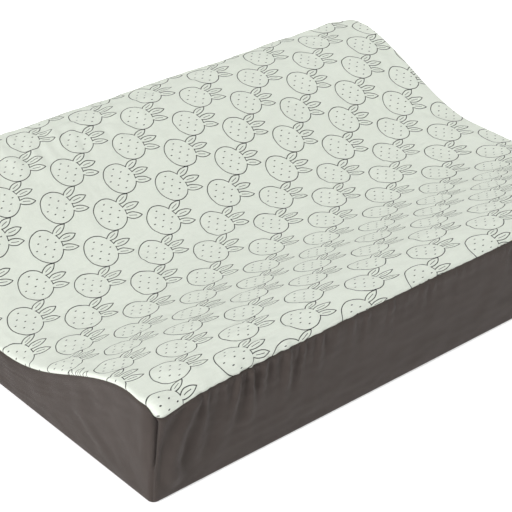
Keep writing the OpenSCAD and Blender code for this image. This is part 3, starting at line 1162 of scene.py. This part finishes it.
@dataclass
class Cover:
    """The zipped cotton cover: printed top, two walls, two ends and the base."""

    shape: PadShape
    finishes: Finishes
    settling: Settling
    cloth: float = 0.0008
    groove: SeamGroove = SeamGroove()
    slot: Pair = (0.0218, 0.0322)
    top_step: float = 0.0036
    wall_step: float = 0.0013
    end_step: float = 0.0028
    height_step: float = 0.0024
    base_step: float = 0.012
    edge_step: float = 0.0006
    calm: float = 0.006
    narrow_calm: float = 0.005
    top_waves: Ripple = Ripple(3, 0.00030, 14, 0.030, 0.120)
    slack_waves: Ripple = Ripple(5, 0.00070, 10, 0.018, 0.060, math.radians(70), 1.2)
    eased_waves: Ripple = Ripple(13, 0.0009, 7, 0.016, 0.040, math.radians(-12), 0.5)
    corner_waves: Ripple = Ripple(9, 0.0011, 8, 0.022, 0.060, math.radians(40), 1.4)
    front_waves: Ripple = Ripple(17, 0.00045, 12, 0.020, 0.070)
    back_waves: Ripple = Ripple(29, 0.00012, 12, 0.020, 0.070)
    gathers: dict[Wall, Gathers] = field(default_factory=lambda: {
        Wall.FRONT: Gathers(seed=11, known=(
            (-0.288, 0.6), (-0.268, 0.4), (-0.251, 0.8), (-0.238, 1.0), (-0.222, 0.7), (-0.209, 0.35),
            (-0.195, 0.9), (-0.175, 0.6), (-0.155, 0.65), (-0.136, 0.3), (-0.117, 0.45), (-0.097, 0.4),
            (-0.065, 0.4), (-0.045, 0.2), (-0.024, 0.35), (-0.011, 0.3),
        )),
        Wall.BACK: Gathers(seed=23, height=0.0008),
    })
    front_drapes: tuple[Drape, ...] = (
        Drape((-0.326, -0.327, -0.3235, -0.3135, -0.301), (0.008, 0.033, 0.048, 0.068, 0.086),
              0.0036, 0.0080),
        Drape((-0.303, -0.300, -0.288), (0.020, 0.055, 0.086), 0.0016, 0.0075),
        Drape((-0.283, -0.266, -0.251), (0.015, 0.055, 0.090), 0.0014, 0.0090),
        Drape((-0.252, -0.240, -0.236), (0.030, 0.060, 0.092), 0.0010, 0.0080),
        Drape((-0.206, -0.199, -0.194), (0.040, 0.065, 0.093), 0.0009, 0.0080),
        Drape((0.325, 0.322, 0.305), (0.010, 0.045, 0.088), 0.0024, 0.010),
    )
    end_drapes: tuple[Drape, ...] = (
        Drape((-0.246, -0.240, -0.243), (0.006, 0.050, 0.096), 0.0006, 0.005),
        Drape((-0.230, -0.233, -0.236), (0.010, 0.050, 0.094), 0.0006, 0.006),
        Drape((-0.196, -0.178, -0.150), (0.008, 0.022, 0.040), 0.0009, 0.010),
        Drape((0.240, 0.236, 0.238), (0.006, 0.050, 0.096), 0.0006, 0.006),
    )

    def build(self) -> None:
        """Makes every panel of the cover."""
        self._top()
        self._wall(Wall.FRONT, "front_side_panel", "cover_front_side", 0.0, 1.0)
        slot_low, slot_high = (z / self.shape.seam for z in self.slot)
        self._wall(Wall.BACK, "back_panel_above_zip", "cover_back_upper", slot_high, 1.0)
        self._wall(Wall.BACK, "back_panel_below_zip", "cover_back_lower", 0.0, slot_low)
        for end, name, node in ((End.FOOT, "foot_end_panel", "cover_foot_end"),
                                (End.HEAD, "head_end_panel", "cover_head_end")):
            self._end(end, name, node)
        self._base()
        self._zip_ends()

    def _finish(self, piece: bpy.types.Object, finish: Cotton, node: str,
                flat: Pair, area: float | None = None) -> None:
        thicken(piece, self.cloth)
        self.finishes.dress(piece, finish)
        report(piece, Body.PAD)
        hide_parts(node)

    def _top(self) -> None:
        """Printed top over both walls and the trough."""
        shape = self.shape
        runs = spread(2 * shape.half_run, self.top_step, 0.0007)
        arcs = spread(2 * shape.half_arc, self.top_step, 0.0007)
        run, arc = grid(runs, arcs)
        points = shape.top(run, arc)
        normals = shape.joined_normals(points, grid_normals(points))
        from_end = shape.half_run - np.abs(run)
        from_wall = shape.half_arc - np.abs(arc)
        height = self.groove.lift(np.minimum(from_end, from_wall), np.maximum(from_end, from_wall))
        for side, gathers in self.gathers.items():
            near = bell(from_wall, 0.008, 1.5) * (np.sign(arc) == side.value)
            height += 0.45 * near * gathers.at(points[..., 0], np.full_like(run, 0.006), shape.half_length)
        free = free_of_seam(from_end, self.calm) * free_of_seam(from_wall, self.calm)
        for waves, share in (
            (self.top_waves, 1.0),
            (self.slack_waves, bell(np.abs(arc) - 0.235, 0.05)),
            (self.eased_waves, bell(arc - 0.205, 0.035) * bell(run + 0.14, 0.13)),
            (self.corner_waves, bell(from_end, 0.09) * bell(from_wall, 0.07)),
        ):
            height += free * share * waves.at(run, arc)
        moved = points + self.settling.at("top", run / (2 * shape.half_run) + 0.5,
                                          arc / (2 * shape.half_arc) + 0.5)
        piece = grid_mesh("printed_top", moved + normals * height[..., None], pair(run, arc))
        lay = PrintLay(shape.half_length, shape.half_arc).at(run, arc).reshape(-1, 2)
        printed = piece.data.uv_layers.new(name=PRINT_UV_NAME)
        loops = np.empty(len(piece.data.loops), dtype=np.int32)
        piece.data.loops.foreach_get("vertex_index", loops)
        printed.data.foreach_set("uv", lay[loops].astype(np.float32).ravel())
        self._finish(piece, Finishes.PRINTED, "cover_top", (2 * shape.half_arc, 2 * shape.half_run))

    def _wall(self, side: Wall, name: str, node: str, low: float, high: float) -> None:
        """A long wall's panel between two shares of its height."""
        shape = self.shape
        runs = spread(2 * shape.half_run, self.wall_step, self.edge_step)
        tall = (high - low) * shape.seam
        heights = (spread(tall, self.height_step, self.edge_step) + tall / 2) / shape.seam + low
        run, height = grid(runs, heights)
        points = shape.wall(side, run, height)
        outward = shape.joined_normals(points, grid_normals(points) * -side.value)
        below = (high - height) * shape.seam
        above = (height - low) * shape.seam
        from_end = shape.half_run - np.abs(run)
        x, z = points[..., 0], points[..., 2]
        free = free_of_seam(from_end, self.calm) * free_of_seam(above, self.narrow_calm)
        lift = self.groove.lift(np.minimum(above, below) if high == 1.0 else above, from_end, z)
        if high == 1.0:
            lift += free * self.gathers[side].at(x, below, shape.half_length)
            free = free * free_of_seam(below, self.narrow_calm)
        if side is Wall.FRONT:
            for drape in self.front_drapes:
                lift += free * drape.at(x, z)
            lift += free * self.front_waves.at(x, z)
        else:
            off_slot = free_of_seam(np.abs(z - sum(self.slot) / 2), 0.022)
            lift += free * off_slot * self.back_waves.at(x, z)
            lift += self._slot_hem(z, np.abs(x))
        moved = points + self.settling.at(side, run / (2 * shape.half_run) + 0.5, height)
        piece = grid_mesh(name, moved + outward * lift[..., None], pair(run, height * shape.seam),
                          flip=side is Wall.BACK)
        self._finish(piece, Finishes.PLAIN, node, (tall, 2 * shape.half_run))

    def _slot_hem(self, z: np.ndarray, x: np.ndarray) -> np.ndarray:
        """Folded hem along the zip's slot, pressed in along its row of stitches."""
        low, high = self.slot
        inside = np.where(z > (low + high) / 2, z - high, low - z)
        return 0.0004 * (bell(inside, 0.0065, 8) - bell(inside - 0.003, 0.0007)) * (x < 0.312)

    def _end(self, end: End, name: str, node: str) -> None:
        """An end panel, cut to the pad's section."""
        shape = self.shape
        arcs = spread(2 * shape.half_arc, self.end_step, self.edge_step)
        heights = spread(1.0, 0.028, 0.007) + 0.5
        arc, height = grid(arcs, heights)
        points = shape.end(end, arc, height)
        outward = shape.joined_normals(points, shape.end_normals(end, arc, height))
        tall = (points[:, -1, 2] - points[:, 0, 2])[:, None]
        y, z = points[..., 1], points[..., 2]
        above, below = height * tall, (1 - height) * tall
        from_corner = np.abs(np.abs(y) - np.abs(points[-1, :, 1])[None, :])
        lift = self.groove.lift(np.minimum(above, below), from_corner, z)
        free = math.prod(free_of_seam(distance, self.narrow_calm)
                         for distance in (above, below, from_corner))
        for drape in self.end_drapes:
            lift += free * drape.at(y, z)
        lift += free * Ripple(41 + end.value, 0.0006, 14, 0.022, 0.080).at(y, z)
        area = float(np.sum((tall[1:, 0] + tall[:-1, 0]) / 2 * np.diff(points[:, 0, 1])))
        moved = points + self.settling.at(end, arc / (2 * shape.half_arc) + 0.5, height)
        piece = grid_mesh(name, moved + outward * lift[..., None], pair(y, height * tall),
                          flip=end is End.FOOT)
        self._finish(piece, Finishes.PLAIN, node, (2 * shape.half_width, shape.crest), area)

    def _base(self) -> None:
        """Flat base panel, sewn to the lower edge of every other panel."""
        shape = self.shape
        xs, ys = (spread(2 * half, self.base_step, 0.0010)
                  for half in (shape.half_length, shape.half_width))
        x, y = grid(xs, ys)
        points = shape.drawn_in(np.stack([x, y, np.zeros_like(x)], axis=-1))
        from_edge = pair(shape.half_length - np.abs(x), shape.half_width - np.abs(y))
        edge = from_edge.min(axis=-1)
        rolled = 0.004
        points[..., 2] = 0.0010 * bell(edge, 0.0018)
        inward = np.clip(1 - edge / rolled, 0, 1) * 0.0009
        points[..., :2] -= np.sign(points[..., :2]) * inward[..., None] * (from_edge < rolled)
        piece = grid_mesh("base_panel", points, pair(x, y), flip=True)
        self._finish(piece, Finishes.PLAIN, "cover_base", (2 * shape.half_width, 2 * shape.half_length))

    def _zip_ends(self) -> None:
        """Two small panels that close the zip's slot beyond the chain."""
        shape = self.shape
        low, high = self.slot
        for end, name in ((End.HEAD, "zip_end_panel_head"), (End.FOOT, "zip_end_panel_foot")):
            box_low, box_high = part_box(name)
            inner = min(abs(box_low.x), abs(box_high.x))
            runs = (spread(shape.half_run - inner, self.height_step, self.edge_step)
                    + (shape.half_run + inner) / 2)
            heights = (spread(high - low, 0.0016, 0.0005) + (high + low) / 2) / shape.seam
            run, height = grid(end.value * runs, heights)
            points = shape.wall(Wall.BACK, run, height)
            outward = grid_normals(points) * -end.value
            z = points[..., 2]
            edge = np.minimum(np.minimum(high - z, z - low), np.abs(run) - inner)
            lift = self.groove.lift(edge, shape.half_run - np.abs(run), z)
            piece = grid_mesh(name.replace("panel", "patch"), points + outward * lift[..., None],
                              pair(run, height * shape.seam), flip=end is End.HEAD)
            self._finish(piece, Finishes.PLAIN, name, (high - low, float(np.ptp(runs))))


@dataclass
class Filling:
    """The foam block and the welded liner round it."""

    shape: PadShape
    finishes: Finishes
    liner_inset: float = 0.0046
    foam_inset: float = 0.0056
    corner_inset: float = 0.009
    corner_reach: float = 0.022
    lowest: float = 0.0016
    film: float = 0.0004
    liner_flat: Pair = (0.82, 0.92)
    liner_cut_share: float = 0.74

    def build(self) -> None:
        """Makes the foam, the liner's shell and the sheet that closes it."""
        foam = self._shell("foam_block", self.foam_inset, closed=True)
        self.finishes.dress(foam, Finishes.FOAM)
        report(foam, Body.PAD)
        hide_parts("foam_core")
        liner = self._shell("liner_shell", self.liner_inset, closed=False)
        self._film(liner, "liner_upper")
        self._film(self._lid(), "liner_lower")

    def _film(self, piece: bpy.types.Object, node: str) -> None:
        """Thickens and dresses one piece of the liner, and rides it on the pad's body."""
        thicken(piece, self.film)
        self.finishes.dress(piece, Finishes.FILM)
        report(piece, Body.PAD)
        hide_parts(node)

    def _shell(self, name: str, inset: float, closed: bool) -> bpy.types.Object:
        """The cover's own shape, shrunk by inset: all five upper sides, and the base where it is closed."""
        shape = self.shape
        mesh = bmesh.new()
        runs = spread(2 * shape.half_run, 0.010, 0.002)
        arcs = spread(2 * shape.half_arc, 0.010, 0.002)
        heights = spread(1.0, 0.1, 0.03) + 0.5
        run, arc = grid(runs, arcs)
        self._patch(mesh, shape.top(run, arc), False)
        run, height = grid(runs, heights)
        for side in Wall:
            self._patch(mesh, shape.wall(side, run, height), side is Wall.BACK)
        arc, height = grid(arcs, heights)
        for end in End:
            self._patch(mesh, shape.end(end, arc, height), end is End.FOOT)
        bmesh.ops.remove_doubles(mesh, verts=mesh.verts, dist=0.0002)
        if closed:
            rim = [edge for edge in mesh.edges if edge.is_boundary]
            bmesh.ops.contextual_create(mesh, geom=rim)
        bmesh.ops.recalc_face_normals(mesh, faces=mesh.faces)
        mesh.normal_update()
        tips = [Vector(tip) for tip in shape.tips().values()]
        for vertex, normal in [(v, v.normal.copy()) for v in mesh.verts]:
            tip = min(tips, key=lambda place: (place - vertex.co).length)
            nearness = bell((tip - vertex.co).length, self.corner_reach)
            inward = Vector((-math.copysign(1, tip.x), -math.copysign(1, tip.y), -0.7)).normalized()
            vertex.co += inward * self.corner_inset * nearness - normal * inset
            vertex.co.z = max(vertex.co.z, self.lowest)
        data = bpy.data.meshes.new(name)
        mesh.to_mesh(data)
        mesh.free()
        data.polygons.foreach_set("use_smooth", [True] * len(data.polygons))
        return link(name, data)

    @staticmethod
    def _patch(mesh: bmesh.types.BMesh, points: np.ndarray, flip: bool) -> None:
        """Adds a grid of faces to a mesh."""
        verts = [[mesh.verts.new(p) for p in row] for row in points]
        for i in range(len(verts) - 1):
            for j in range(len(verts[0]) - 1):
                face = [verts[i][j], verts[i + 1][j], verts[i + 1][j + 1], verts[i][j + 1]]
                mesh.faces.new(face[::-1] if flip else face)

    def _lid(self) -> bpy.types.Object:
        """The sheet under the foam."""
        shape = self.shape
        xs = np.linspace(-1, 1, 30) * (shape.half_length - 0.006)
        ys = np.linspace(-1, 1, 22) * (shape.half_width - 0.006)
        x, y = grid(xs, ys)
        points = shape.drawn_in(np.stack([x, y, np.full_like(x, 0.0010)], axis=-1))
        return grid_mesh("liner_lid", points, pair(x, y), flip=True)


class RowTree:
    """A Geometry Nodes tree that lays one small rounded shape again and again along a path."""

    def __init__(self) -> None:
        """Builds the tree."""
        tree = bpy.data.node_groups.new("row_along_path", "GeometryNodeTree")
        tree.is_modifier = True
        self.tree = tree
        self._ids: dict[str, str] = {}
        inputs = {"Path": "Geometry", "Pitch": "Float", "Length": "Float", "Width": "Float",
                  "Height": "Float", "Slant": "Float", "Unevenness": "Float", "Seed": "Int",
                  "Finish": "Material"}
        for name, kind in inputs.items():
            socket = tree.interface.new_socket(name=name, in_out="INPUT", socket_type="NodeSocket" + kind)
            self._ids[name] = socket.identifier
        tree.interface.new_socket(name="Row", in_out="OUTPUT", socket_type="NodeSocketGeometry")
        self._fill()

    def _fill(self) -> None:
        """Places the tree's nodes."""
        graph = Graph(self.tree)
        given = graph.node("NodeGroupInput").outputs
        out = graph.node("NodeGroupOutput").inputs
        path = graph.node("GeometryNodeMeshToCurve", {"Mesh": given["Path"]})
        even = graph.node("GeometryNodeResampleCurve",
                          {"Curve": path.outputs["Curve"], "Length": given["Pitch"]}, mode="LENGTH")
        shape = graph.node("GeometryNodeMeshUVSphere", {"Segments": 8, "Rings": 6, "Radius": 0.5})
        size = graph.combine(given["Length"], given["Width"], given["Height"])
        low, high = (graph.math(operation, 1.0, given["Unevenness"]) for operation in ("SUBTRACT", "ADD"))
        limits = {"Min": graph.combine(low, low, low), "Max": graph.combine(high, high, high),
                  "Seed": given["Seed"]}
        chance = graph.node("FunctionNodeRandomValue", limits, data_type="FLOAT_VECTOR")
        tangent = graph.node("GeometryNodeInputTangent").outputs[0]
        facing = graph.node("FunctionNodeAlignRotationToVector", {"Vector": tangent}, axis="X")
        slant = graph.node("FunctionNodeEulerToRotation", {0: graph.combine(0.0, given["Slant"], 0.0)})
        turned = graph.node("FunctionNodeRotateRotation",
                            {0: facing.outputs["Rotation"], 1: slant.outputs[0]}, rotation_space="LOCAL")
        laid = graph.node("GeometryNodeInstanceOnPoints", {
            "Points": even.outputs["Curve"], "Instance": shape.outputs["Mesh"],
            "Rotation": turned.outputs[0], "Scale": graph.vector("MULTIPLY", size, chance.outputs[0])})
        real = graph.node("GeometryNodeRealizeInstances", {"Geometry": laid.outputs["Instances"]})
        smooth = graph.node("GeometryNodeSetShadeSmooth", {"Geometry": real.outputs["Geometry"]})
        dressed = graph.node("GeometryNodeSetMaterial",
                             {"Geometry": smooth.outputs["Geometry"], "Material": given["Finish"]})
        graph.feed(out["Row"], dressed.outputs["Geometry"])

    def lay(self, name: str, paths: list[np.ndarray], finish: bpy.types.Material,
            **sizes: float) -> bpy.types.Object:
        """Runs the tree along paths and keeps the result as a plain mesh.

        Args:
            name: The new piece's name.
            paths: Rows of points, each an open path.
            finish: The material of the row.
            sizes: The tree's other inputs, by name.

        Returns:
            The piece.
        """
        starts = np.cumsum([0, *(len(path) for path in paths)])
        edges = [(int(start) + i, int(start) + i + 1)
                 for start, path in zip(starts, paths) for i in range(len(path) - 1)]
        mesh = bpy.data.meshes.new(name)
        mesh.from_pydata(np.concatenate(paths).tolist(), edges, [])
        piece = link(name, mesh)
        modifier = piece.modifiers.new("row", "NODES")
        modifier.node_group = self.tree
        for key, value in sizes.items():
            modifier[self._ids[key]] = value
        modifier[self._ids["Finish"]] = finish
        apply_modifiers(piece)
        return piece


@dataclass
class Sewing:
    """The rows of stitches that show: along the zip's slot, and a bar across each corner seam."""

    shape: PadShape
    finishes: Finishes
    rows: RowTree
    stitch: float = 0.0026
    thread: float = 0.0006
    hem: float = 0.003
    stand_out: float = 0.00008
    bar_height: float = 0.038
    bar_half: float = 0.0022
    bar_inset: float = 0.0004

    def build(self) -> None:
        """Makes both kinds of stitches."""
        thread = self.finishes.get(Finishes.THREAD)
        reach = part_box("zip_tape_upper")[1].x - 0.002
        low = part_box("cover_back_lower")[1].z
        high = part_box("cover_back_upper")[0].z
        xs = np.linspace(-reach, reach, 60)
        y = self.shape.half_width + self.stand_out
        slot_rows = [np.stack(np.broadcast_arrays(xs, y, z), axis=-1)
                     for z in (low - self.hem, high + self.hem)]
        zip_row = self.rows.lay("zip_topstitch", slot_rows, thread, Pitch=0.0033, Length=self.stitch,
                                Width=self.thread, Height=self.thread, Slant=0.06, Unevenness=0.08, Seed=4)
        self._finish(zip_row)
        bars = self.rows.lay("corner_bars", self._bar_paths(), thread, Pitch=0.0006, Length=0.0034,
                             Width=0.0005, Height=0.0005, Slant=0.0, Unevenness=0.1, Seed=6)
        self._finish(bars)

    def _finish(self, piece: bpy.types.Object) -> None:
        """Rides stitches on the pad's body."""
        report(piece, Body.PAD)

    def _bar_paths(self) -> list[np.ndarray]:
        """Short paths up each corner seam, where the thread goes to and fro across it."""
        height = (self.bar_height + np.array([-self.bar_half, self.bar_half])) / self.shape.seam
        paths = []
        for end in End:
            for side in Wall:
                corner = self.shape.wall(side, np.full(2, end.value * self.shape.half_run), height)
                paths.append(corner - self.bar_inset * np.array([end.value, side.value, 0.0]))
        return paths


@dataclass
class Zip:
    """Tapes, coils, stops, slider and pull."""

    finishes: Finishes
    rows: RowTree
    pitch: float = 0.0014
    edge_round: float = 0.00018
    tape_waves: Ripple = Ripple(51, 0.00006, 6, 0.02, 0.09)

    def build(self) -> None:
        """Makes the tapes and coils, and rounds the edges of the metal parts."""
        for which in ("upper", "lower"):
            self._tape(which)
            self._coil(which)
        self._rounded("zip_slider", "slider_shell", Body.SLIDER)
        self._rounded("zip_pull", "pull_tab", Body.PULL)
        for node in ("zip_top_stops", "zip_bottom_stop"):
            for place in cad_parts[node].material_slots:
                place.material = self.finishes.get(Finishes.METAL)

    def _tape(self, which: str) -> None:
        """A woven tape with a slightly uneven run."""
        low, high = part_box("zip_tape_" + which)
        xs = np.linspace(low.x, high.x, 220)
        zs = np.linspace(low.z, high.z, 12)
        x, z = grid(xs, zs)
        y = high.y - self.tape_waves.rise - self.tape_waves.at(x, z)
        piece = grid_mesh(f"{which}_tape", np.stack([x, y, z], axis=-1), pair(x, z), flip=True)
        thicken(piece, high.y - low.y)
        self.finishes.dress(piece, Finishes.TAPE)
        report(piece, Body.PAD)
        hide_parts("zip_tape_" + which)

    def _coil(self, which: str) -> None:
        """A coil's turns, each a rounded bar across the tape's edge."""
        low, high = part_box("zip_coil_" + which)
        middle = ((low.y + high.y) / 2, (low.z + high.z) / 2)
        path = np.array([[low.x + self.pitch, *middle], [high.x - self.pitch, *middle]])
        piece = self.rows.lay(f"{which}_coil", [path], self.finishes.get(Finishes.COIL), Pitch=self.pitch,
                              Length=self.pitch * 0.86, Width=high.y - low.y,
                              Height=(high.z - low.z) * 1.05, Slant=0.0, Unevenness=0.01, Seed=8)
        report(piece, Body.PAD)
        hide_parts("zip_coil_" + which)

    def _rounded(self, node: str, name: str, body: Body) -> None:
        """A copy of a metal CAD part with its sharp edges rounded."""
        mesh = bmesh.new()
        mesh.from_mesh(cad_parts[node].data)
        bmesh.ops.remove_doubles(mesh, verts=mesh.verts, dist=1e-6)
        bmesh.ops.dissolve_limit(mesh, angle_limit=math.radians(2), verts=mesh.verts, edges=mesh.edges)
        data = bpy.data.meshes.new(name)
        mesh.to_mesh(data)
        mesh.free()
        piece = link(name, data)
        bevel = piece.modifiers.new("edges", "BEVEL")
        bevel.width = self.edge_round
        bevel.segments = 3
        bevel.limit_method = "ANGLE"
        bevel.angle_limit = math.radians(35)
        bevel.harden_normals = False
        apply_modifiers(piece)
        self.finishes.dress(piece, Finishes.METAL)
        report(piece, body)
        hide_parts(node)


@dataclass
class CareLabel:
    """Blank satin label, folded in half and sewn into the back seam."""

    finishes: Finishes
    skin: float = 0.00022
    curl: float = 0.0035
    wave: float = 0.0006

    def build(self) -> None:
        """Makes the folded ribbon."""
        low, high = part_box("care_label")
        drop = high.z - low.z
        bend = (high.y - low.y - self.skin) / 2
        down = np.linspace(0, 1, 26)
        front = pair(high.y, high.z - down * (drop - bend))
        turn = np.linspace(0, math.pi, 9)[1:-1]
        fold = pair(high.y - bend + bend * np.cos(turn), low.z + bend - bend * np.sin(turn))
        back = front[::-1] - np.array([2 * bend, 0.0])
        path = np.concatenate([front, fold, back])
        length = np.concatenate([[0.0], np.cumsum(np.linalg.norm(np.diff(path, axis=0), axis=1))])
        xs = np.linspace(low.x, high.x, 22)
        x = np.broadcast_to(xs[:, None], (len(xs), len(path)))
        share = (high.z - path[:, 1]) / drop
        across = (xs - xs.mean())[:, None] / (xs[-1] - xs[0])
        curled = self.curl * share**2 * (0.8 + 0.5 * across)
        y = path[:, 0] + curled + self.wave * share * np.cos(across * 5)
        z = path[:, 1] + self.wave * share * across
        piece = grid_mesh("care_label_ribbon", np.stack([x, y, z], axis=-1), pair(x, length), flip=True)
        thicken(piece, self.skin)
        self.finishes.dress(piece, Finishes.LABEL)
        report(piece, Body.LABEL)
        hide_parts("care_label")


# ------------------------------------------------------------------------------------------
# Studio
# ------------------------------------------------------------------------------------------


@dataclass
class Studio:
    """Pale floor, soft light and the camera."""

    target: tuple[float, float, float] = (-0.0654, -0.0579, 0.054)
    azimuth: float = math.radians(-41.76)
    elevation: float = math.radians(30.83)
    roll: float = math.radians(1.31)
    distance: float = 1.743
    lens_mm: float = 121.4

    def build(self) -> None:
        """Makes the camera, the floor and the lights."""
        self._camera()
        self._floor()
        self._lights()

    def _camera(self) -> None:
        """Camera aimed at its target from an azimuth and elevation, turned a little about its own axis."""
        back = Vector((math.sin(self.azimuth) * math.cos(self.elevation),
                       -math.cos(self.azimuth) * math.cos(self.elevation), math.sin(self.elevation)))
        level = Vector((math.cos(self.azimuth), math.sin(self.azimuth), 0.0))
        above = back.cross(level)
        right = level * math.cos(self.roll) + above * math.sin(self.roll)
        up = above * math.cos(self.roll) - level * math.sin(self.roll)
        data = bpy.data.cameras.new("camera")
        data.lens = self.lens_mm
        data.sensor_width = 36.0
        camera = link("camera", data)
        turn = Matrix((right, up, back)).transposed().to_4x4()
        camera.matrix_world = Matrix.Translation(Vector(self.target) + back * self.distance) @ turn
        bpy.context.scene.camera = camera

    def _floor(self) -> None:
        """Wide pale floor, just under the base panel."""
        mesh = bpy.data.meshes.new("floor")
        half, gap = 20.0, 0.0002
        corners = ((-half, -half), (half, -half), (half, half), (-half, half))
        mesh.from_pydata([(x, y, -gap) for x, y in corners], [], [(0, 1, 2, 3)])
        floor = link("floor", mesh)
        material, _, shader = new_material("pale_floor")
        for name, value in {"Base Color": (0.93, 0.93, 0.93, 1), "Roughness": 0.9,
                            "Emission Color": (1, 1, 1, 1), "Emission Strength": 0.50}.items():
            shader.inputs[name].default_value = value
        mesh.materials.append(material)

    def _lights(self) -> None:
        """Even pale surroundings, a large soft key from the foot end and a weak fill from the front."""
        scene = bpy.context.scene
        scene.view_settings.view_transform = "Standard"
        world = bpy.data.worlds.new("studio")
        scene.world = world
        world.use_nodes = True
        sky = world.node_tree.nodes["Background"]
        sky.inputs["Color"].default_value = (1, 1, 1, 1)
        sky.inputs["Strength"].default_value = 0.23
        self._area("key", (-2.7, -0.60, 1.6), 1.2, 73.0)
        self._area("fill", (1.3, -1.0, 0.55), 0.8, 5.3)
        self._area("back", (0.6, 2.6, 1.2), 1.6, 9.0)
        self._area("overhead", (0.9, 0.2, 2.6), 2.4, 38.0)

    @staticmethod
    def _area(name: str, place: tuple[float, float, float], size: float, power: float) -> None:
        """Adds a square soft light that faces the pad."""
        data = bpy.data.lights.new(name, "AREA")
        data.size = size
        data.energy = power
        turn = Vector(place).to_track_quat("Z", "Y").to_matrix().to_4x4()
        link(name, data).matrix_world = Matrix.Translation(place) @ turn


def main() -> None:
    """Builds the studio, then the pad's sub-assemblies in order."""
    logging.basicConfig(level=logging.INFO, format="%(name)s: %(message)s")
    finishes = Finishes()
    shape = PadShape.from_frame()
    rows = RowTree()
    Studio().build()
    Filling(shape, finishes).build()
    settling = Settling(shape)
    settling.run()
    Cover(shape, finishes, settling).build()
    Sewing(shape, finishes, rows).build()
    Zip(finishes, rows).build()
    CareLabel(finishes).build()


if __name__ == "__main__":
    main()
